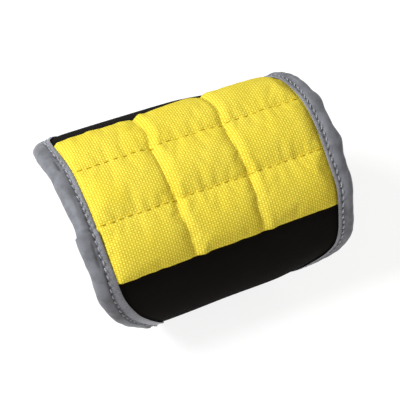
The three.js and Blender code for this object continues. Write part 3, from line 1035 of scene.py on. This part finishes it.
def tape_relief(depth, run, side, stitches):
    """Relief of the tape's legs: stitched groove, roll by the fold, dents and puckers."""
    free = play(run)
    gathers = left_bump(run, side, GATHER_S, GATHER_HALF)
    groove = (GROOVE_EASE * free - GROOVE_DEPTH) * bell(depth, SEAM_DEPTH, GROOVE_HALF)
    groove = groove * rising(GROOVE_GATHERED, 1 - gathers)
    by_hole = np.cos(2 * math.pi * stitches) * bell(depth, SEAM_DEPTH, HOLE_HALF)
    holes = -HOLE_DEPTH * by_hole * free * (1 - gathers)
    lip = -LIP_DROP * smooth((depth - TAPE_WIDTH) / LIP_HALF + 1)
    lap = SPLICE_RISE * splice(run, side) - left_bump(run, side, *SPLICE_NIP)
    gather = GATHER_DEPTH * np.sin(2 * math.pi * depth / GATHER_PITCH) * gathers
    roll = bump(depth, *ROLL)
    dented = smooth(tape_uneven(TAPE_DENTS, run, side) - DENT_LEVEL)
    dent = bell(depth, *DENT) * dented
    waves = sum(tape_uneven(field, run, side, depth) for field in (TAPE_FINE, TAPE_BROAD))
    waves = waves * rising(SEWN_PLAY, smooth((SEAM_DEPTH - depth) / SEWN_PLAY_EASE))
    return groove + holes + lip + lap + gather + (roll + waves + dent) * free - TAPE_SINK


def tape_over(depth, s, run, side, stitches):
    return tape_outside(s) + tape_relief(depth, run, side, stitches)


def tape_under(depth, run, side, stitches):
    return TAPE_INSIDE - UNDER_SHARE * tape_relief(depth, run + UNDER_SHIFT, side, stitches)


def tape_inward(depth, s, run, side):
    """Distance in from the edge: more where it slants, and at the front left corner's lip."""
    slanted = depth + np.maximum(depth - FOLD_DEPTH, 0) * (tape_stretch(s) - 1)
    lip = TAPE_WIDTH - SEAM_DEPTH
    seam = CORNER_SEAM * bump(depth, SEAM_DEPTH, lip)
    wider = CORNER_LIP * smooth((depth - SEAM_DEPTH) / lip)
    return slanted + left_bump(run, side, *CORNER) * (wider - seam)


def tape_rings(line):
    """Sections of the folded tape: an outer skin from lip to lip and an inner skin back."""
    x, s, in_x, in_s, run, side, stitches = line[:, :, None]
    leg = LEG[None, :]
    top = tape_over(leg, s, run, side, stitches)
    under = tape_under(leg, run, side, stitches)
    wave = sum(tape_uneven(field, run, side) for field in FOLD_WAVES) * play(run)
    wave = wave - SPLICE_REACH * splice(run, side) - drift(run, side, FOLD_DRIFTS)
    crumple = tape_uneven(FOLD_CRUMPLE, run, side, FOLD_ANGLES) * play(run)
    fold_d = FOLD_DEPTH - (FOLD_DEPTH - wave) * np.cos(FOLD_ANGLES) + crumple
    middle = (top[:, -1:] + under[:, -1:]) / 2
    fold_h = middle + (top[:, -1:] - middle) * np.sin(FOLD_ANGLES)
    outer_d = np.concatenate([leg + 0 * s, fold_d, leg[:, ::-1] + 0 * s], 1)
    outer_h = np.concatenate([top, fold_h, under[:, ::-1]], 1)
    way_d = np.gradient(outer_d, axis=1)
    way_h = np.gradient(outer_h, axis=1)
    size = np.hypot(way_d, way_h)
    inner_d = (outer_d - TAPE_T * way_h / size)[:, ::-INNER_STEP]
    inner_h = (outer_h + TAPE_T * way_d / size)[:, ::-INNER_STEP]
    depth = np.concatenate([outer_d, inner_d], 1)
    height = np.concatenate([outer_h, inner_h], 1)
    inward = tape_inward(depth, s, run, side)
    rings = place(x + in_x * inward, s + in_s * inward, height)
    leg_depth = depth + np.where(height < middle, LEG_OFFSET, 0)
    flat = stacked(stitches, run, leg_depth)
    return rings[None], flat[None]


def unit(vectors):
    return vectors / np.linalg.norm(vectors, axis=-1, keepdims=True)


def threads(x, s, height, run, radius):
    """Stitches as short closed threads; each row of places is one."""
    centre = place(x, s, height)
    normal = unit(place(x, s, height + 1) - centre)
    sideways = np.cross(unit(np.gradient(centre, axis=1)), normal)
    angle = np.linspace(0, 2 * math.pi, THREAD_SIDES, endpoint=False)
    thickness = radius * MM * STITCH_TAPER[None, :, None, None]
    ring = np.cos(angle)[:, None] * sideways[:, :, None] + np.sin(angle)[:, None] * normal[:, :, None]
    flat = stacked(x[:, :, None], run[:, :, None], angle)
    return tubes(centre[:, :, None] + ring * thickness, flat)


def stitch_places(length, pitch):
    """Distances of the points of evenly spaced stitches along a line (stitches, points)."""
    count = max(1, round(length / pitch))
    centres = (np.arange(count) + 0.5) * length / count
    return centres[:, None] + STITCH_OFFSETS * pitch * STITCH_SHARE


def tape_stitches(line):
    """Lockstitches along the tape, on its outer and inner leg."""
    where = stitch_places(line[-1, -1], 1)
    x, s, in_x, in_s, run, side, stitches = (np.interp(where, line[-1], values) for values in line)
    stitch = np.floor(where)
    lean = tape_uneven(STITCH_LEAN, stitch, side)
    slant = STITCH_SLANT[0] + tape_uneven(STITCH_SLANT, stitch, side)
    pull = (tape_uneven(STITCH_PULL, stitch, side) - STITCH_SINK) * play(run)
    depth = SEAM_DEPTH + (lean + slant * STITCH_OFFSETS) * play(run)
    inward = tape_inward(depth, s, run, side)
    at_x = x + in_x * inward
    at_s = s + in_s * inward
    outer = tape_over(depth, s, run, side, stitches) + STITCH_ARCH + pull
    inner = tape_under(depth, run, side, stitches) - STITCH_ARCH
    return join([threads(at_x, at_s, height, run, TAPE_THREAD_RADIUS) for height in (outer, inner)])


def build_binding(name, line, nodes):
    part = tubes(*tape_rings(line))
    tape = add_bent(f"binding_{name}", part, TAPE, nodes, sharp=70)
    add_bent(f"binding_thread_{name}", tape_stitches(line), GREY_THREAD)


# Stitch lines between the rows, seen on the face and on the lining

def build_row_seam(k):
    line = BENDS[k]
    inset = TAPE_WIDTH + ROW_SEAM_GAP
    start = inset - float(edge(line, -1))
    x = start + stitch_places(float(edge(line, 1)) - inset - start, ROW_STITCH_PITCH)
    lean = ROW_LEAN * np.sin(ROW_LEAN_TURN * np.arange(len(x)))[:, None]
    s = line + lean + ROW_SLANT * STITCH_OFFSETS
    outer = threads(x, s, face_height(x, s) + ROW_ARCH_SHARE * STITCH_ARCH, x, ROW_THREAD_RADIUS)
    inner = threads(x, s, lining_height(x, s) - STITCH_ARCH, x, ROW_THREAD_RADIUS)
    add_bent(f"row_thread_{BEND_NAMES[k]}", outer, YELLOW_THREAD)
    add_bent(f"row_thread_inside_{BEND_NAMES[k]}", inner, BLACK_THREAD)


# Hook and loop patches

def patch_grid(base, tip, step):
    start = base + np.sign(tip - base) * PATCH_MARGIN
    s_line = tip_stations(start, tip, step, PATCH_INSET, count=12)
    return across(s_line, PATCH_INSET, np.linspace(0, 1, PATCH_COLUMNS))


def patch_seam(x, s, height, way):
    """Stitches just inside the edge of a patch."""
    inset = 1.4
    left = np.stack([x[:, 0] + inset, s[:, 0]])
    right = np.stack([x[:, -1] - inset, s[:, -1]])[:, ::-1]
    loop = np.concatenate([left, right, left[:, :1]], 1)
    loop[1] = np.clip(loop[1], s.min() + inset, s.max() - inset)
    length = lengths(*loop)
    where = stitch_places(length[-1], ROW_STITCH_PITCH)
    at_x, at_s = (np.interp(where, length, values) for values in loop)
    return threads(at_x, at_s, height + way * STITCH_ARCH, where, ROW_THREAD_RADIUS)


def hook_field(x, s, height):
    """Rows of small bent hooks, leaning to one side and the other in turn."""
    inset = 2.4
    spots = []
    for row, along in enumerate(np.arange(s.min() + inset, s.max() - inset, HOOK_PITCH)):
        half = float(np.interp(along, s[:, 0], x[:, -1])) - inset
        spots += [(column, along, 1 - 2 * (row % 2)) for column in np.arange(-half, half, HOOK_PITCH)]
    at_x, at_s, lean = (np.array(values)[:, None] for values in zip(*spots))
    line_x = at_x + lean * HOOK_BEND[:, 0]
    centre = place(line_x, at_s, height - HOOK_BEND[:, 1])
    angle = np.linspace(0, 2 * math.pi, HOOK_SIDES, endpoint=False)
    lying = stacked(np.cos(angle), np.sin(angle), 0)
    turned = stacked(0, np.sin(angle), np.cos(angle))
    share = HOOK_TURN[:, None, None]
    ring = (lying * (1 - share) + turned * share) * HOOK_RADIUS * MM
    flat = stacked(line_x[:, :, None], at_s[:, :, None], angle)
    return tubes(centre[:, :, None] + ring, flat)


def build_patches():
    x, s = patch_grid(PEEL_LINE, HOOK_TIP, LAYER_STEP)
    top = -STRAP_T - PATCH_GAP
    under = top - HOOK_BACKING_T
    part = slab(x, s, 0 * x + top, 0 * x + under)
    hook = add_bent("hook_patch_tape", part, HOOK, ["hook_patch"])
    add_bent("hook_patch_hooks", hook_field(x, s, under), HOOK)
    add_bent("hook_patch_thread", patch_seam(x, s, under, -1), BLACK_THREAD)
    x, s = patch_grid(FLAT_START, LOOP_TIP, LAYER_STEP / 2)
    pile = FIT + LOOP_T - PILE_DROP + uneven(PILE, x, s)
    part = slab(x, s, pile, 0 * x + PATCH_GAP)
    loop = add_bent("loop_patch_pile", part, LOOP, ["loop_patch"])
    seam = patch_seam(x, s, FIT + LOOP_T - PILE_SEAM_DROP, 1)
    add_bent("loop_patch_thread", seam, BLACK_THREAD)


def finish_magnets():
    """Disc magnets keep their own shape, with a broken edge and bright nickel."""
    for name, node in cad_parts.items():
        if "magnet" not in name:
            continue
        node.data.materials.clear()
        node.data.materials.append(NICKEL)
        rim = node.modifiers.new("broken_edge", "BEVEL")
        rim.width = 0.25 * MM
        rim.segments = 2
        rim.limit_method = "ANGLE"
        rim.angle_limit = math.radians(40)


for k in range(len(BENDS)):
    build_layer(k, "shell", shell_heights, BLACK, LAYER_STEP, columns=64)
    build_layer(k, "lining", lining_heights, MESH, LAYER_STEP / 2, columns=96)
for k in range(2, 6):
    build_face(k)
for row_index, body in ((-1, "rear_row"), (0, "middle_row"), (1, "front_row")):
    build_pad(row_index, body)
build_binding("hook_tip", tip_run(0), ["hook_tail_binding"])
build_binding("loop_tip", tip_run(LAST),
              ["loop_tail_binding", "front_shoulder_binding_left", "front_shoulder_binding_right"])
for k in range(1, LAST):
    for side, word in ((-1, "left"), (1, "right")):
        build_binding(f"{word}_{BEND_NAMES[k]}", tape_run(k, side), [f"{BODIES[k]}_binding_{word}"])
for k in (3, 4):
    build_row_seam(k)
build_patches()
finish_magnets()


# Studio: pale floor, soft light, white surroundings

AMBIENT = 0.35
FLOOR_Z = -0.1
FLOOR_SIZE = 4.0
LIGHT_AIM = Vector((0, 0, 0.04))


def mix_by_ray(shader, plain, seen, output):
    """Shows one surface to direct rays, and the plain one to rays that light the object."""
    path = shader.node("ShaderNodeLightPath").outputs
    first = shader.math("MAXIMUM", path["Is Camera Ray"], path["Is Glossy Ray"])
    directly = shader.math("MAXIMUM", first, path["Is Transmission Ray"])
    mix = shader.node("ShaderNodeMixShader", {0: directly, 1: plain.outputs[0], 2: seen.outputs[0]})
    shader.fill(shader.tree.nodes[output], {"Surface": mix.outputs[0]})


def build_world():
    shader = Shader("studio", bpy.data.worlds)
    scene.world = shader.owner
    plain = shader.fill(shader.tree.nodes["Background"], {"Color": (1.0, 0.95, 0.88), "Strength": AMBIENT})
    white = shader.node("ShaderNodeBackground", {"Color": (1, 1, 1)})
    mix_by_ray(shader, plain, white, "World Output")


def build_floor():
    bpy.ops.mesh.primitive_plane_add(size=FLOOR_SIZE, location=(0, 0, FLOOR_Z * MM))
    floor = bpy.context.object
    floor.name = "floor"
    shader = Shader("pale_floor")
    plain = shader.tree.nodes["Principled BSDF"]
    shader.fill(plain, {"Base Color": (0.82, 0.82, 0.82), "Roughness": 0.9})
    glow = shader.node("ShaderNodeEmission", {"Color": (1, 1, 1), "Strength": 0.84})
    veil = shader.node("ShaderNodeBsdfDiffuse", {"Color": (0.26, 0.26, 0.26)})
    white = shader.node("ShaderNodeAddShader", {0: glow.outputs[0], 1: veil.outputs[0]})
    mix_by_ray(shader, plain, white, "Material Output")
    floor.data.materials.append(shader.owner)


def build_light(name, spot, size, power, tint):
    light = bpy.data.lights.new(name, "AREA")
    light.shape = "DISK"
    light.size = size
    light.energy = power
    light.color = tint
    lamp = add_object(name, light)
    lamp.location = spot
    lamp.rotation_euler = (LIGHT_AIM - Vector(spot)).to_track_quat("-Z", "Y").to_euler()


# Camera: fitted to the photograph's outline; it stands right of, above and back from its target

CAMERA_TARGET = Vector((0, 0, 0.0421))
CAMERA_AZIMUTH = math.radians(-24.46)
CAMERA_ELEVATION = math.radians(50.99)
CAMERA_PLACE = (0.00421, -0.00569, 0.420)
CAMERA_LENS = 104.8


def build_camera():
    data = bpy.data.cameras.new("camera")
    data.lens = CAMERA_LENS
    data.sensor_width = 36
    camera = add_object("camera", data)
    turn = Matrix.Rotation(CAMERA_AZIMUTH, 4, "Z") @ Matrix.Rotation(math.pi / 2 - CAMERA_ELEVATION, 4, "X")
    camera.matrix_world = Matrix.Translation(CAMERA_TARGET) @ turn @ Matrix.Translation(CAMERA_PLACE)
    scene.camera = camera


build_world()
build_floor()
build_light("key", (-0.45, 0.09, 0.60), size=0.32, power=6.8, tint=(0.95, 0.985, 1.0))
build_light("fill", (-0.6, -0.6, 0.25), size=0.6, power=1.2, tint=(1.0, 0.97, 0.94))
build_camera()
scene.view_settings.view_transform = "Standard"
